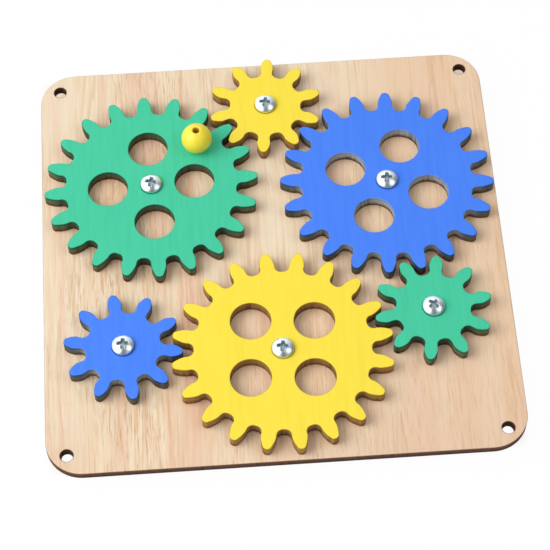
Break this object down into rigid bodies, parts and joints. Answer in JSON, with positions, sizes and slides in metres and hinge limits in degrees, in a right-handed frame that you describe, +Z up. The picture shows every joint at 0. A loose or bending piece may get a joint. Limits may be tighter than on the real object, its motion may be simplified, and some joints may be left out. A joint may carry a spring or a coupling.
{
  "type": "wooden crank gear toy",
  "caption": "Square wooden board with a train of painted flat spur gears, large and small, on pan head screws; a bead on one gear turns them all together.",
  "frame": {"origin": "under the middle of the board, level with the ends of the pivot screws and nuts that the toy stands on", "axes": "+Z up out of the gears' painted faces, +X to the right and +Y away from the user, along the board's sides"},
  "size_m": [0.2, 0.2, 0.0285],
  "materials": {
    "birch_board": "bare laser-cut plywood with a fine straight grain and scorched edges",
    "green_paint": "flat green paint on plywood, scorched brown cut edges",
    "blue_paint": "flat blue paint on plywood, scorched brown cut edges",
    "yellow_paint": "flat yellow paint on plywood, scorched brown cut edges",
    "yellow_bead": "satin yellow lacquer on a turned wooden ball",
    "zinc_steel": "bright zinc-plated steel",
    "nylon": "natural nylon ring"
  },
  "bodies": {
    "board_body": {"backing_board": "birch_board", "green_crank_gear_screw": "zinc_steel", "green_crank_gear_spacer": "zinc_steel", "green_crank_gear_back_washer": "zinc_steel", "green_crank_gear_lock_nut": "zinc_steel", "green_crank_gear_nut_insert": "nylon", "yellow_pinion_screw": "zinc_steel", "yellow_pinion_spacer": "zinc_steel", "yellow_pinion_back_washer": "zinc_steel", "yellow_pinion_lock_nut": "zinc_steel", "yellow_pinion_nut_insert": "nylon", "blue_gear_screw": "zinc_steel", "blue_gear_spacer": "zinc_steel", "blue_gear_back_washer": "zinc_steel", "blue_gear_lock_nut": "zinc_steel", "blue_gear_nut_insert": "nylon", "green_pinion_screw": "zinc_steel", "green_pinion_spacer": "zinc_steel", "green_pinion_back_washer": "zinc_steel", "green_pinion_lock_nut": "zinc_steel", "green_pinion_nut_insert": "nylon", "yellow_gear_screw": "zinc_steel", "yellow_gear_spacer": "zinc_steel", "yellow_gear_back_washer": "zinc_steel", "yellow_gear_lock_nut": "zinc_steel", "yellow_gear_nut_insert": "nylon", "blue_pinion_screw": "zinc_steel", "blue_pinion_spacer": "zinc_steel", "blue_pinion_back_washer": "zinc_steel", "blue_pinion_lock_nut": "zinc_steel", "blue_pinion_nut_insert": "nylon"},
    "green_crank_gear_body": {"green_crank_gear": "green_paint", "crank_bead": "yellow_bead", "bead_screw": "zinc_steel"},
    "yellow_pinion_body": {"yellow_pinion": "yellow_paint"},
    "blue_gear_body": {"blue_gear": "blue_paint"},
    "green_pinion_body": {"green_pinion": "green_paint"},
    "yellow_gear_body": {"yellow_gear": "yellow_paint"},
    "blue_pinion_body": {"blue_pinion": "blue_paint"}
  },
  "joints": [
    {"name": "green_crank_gear_spin", "type": "hinge", "parent": "board_body", "child": "green_crank_gear_body", "pos_m": [-0.0515, 0.0345, 0.01295], "axis": [0, 0, 1], "continuous": true},
    {"name": "yellow_pinion_spin", "type": "hinge", "parent": "board_body", "child": "yellow_pinion_body", "pos_m": [0.0012, 0.0735, 0.01295], "axis": [0, 0, 1], "continuous": true},
    {"name": "blue_gear_spin", "type": "hinge", "parent": "board_body", "child": "blue_gear_body", "pos_m": [0.052, 0.0295, 0.01295], "axis": [0, 0, 1], "continuous": true},
    {"name": "green_pinion_spin", "type": "hinge", "parent": "board_body", "child": "green_pinion_body", "pos_m": [0.0657, -0.0355, 0.01295], "axis": [0, 0, 1], "continuous": true},
    {"name": "yellow_gear_spin", "type": "hinge", "parent": "board_body", "child": "yellow_gear_body", "pos_m": [0.0006, -0.0511, 0.01295], "axis": [0, 0, 1], "continuous": true},
    {"name": "blue_pinion_spin", "type": "hinge", "parent": "board_body", "child": "blue_pinion_body", "pos_m": [-0.0663, -0.0452, 0.01295], "axis": [0, 0, 1], "continuous": true}
  ],
  "couplings": [
    {"joint": "yellow_pinion_spin", "follows": "green_crank_gear_spin", "ratio": -2},
    {"joint": "blue_gear_spin", "follows": "green_crank_gear_spin", "ratio": 1},
    {"joint": "green_pinion_spin", "follows": "green_crank_gear_spin", "ratio": -2},
    {"joint": "yellow_gear_spin", "follows": "green_crank_gear_spin", "ratio": 1},
    {"joint": "blue_pinion_spin", "follows": "green_crank_gear_spin", "ratio": -2}
  ]
}
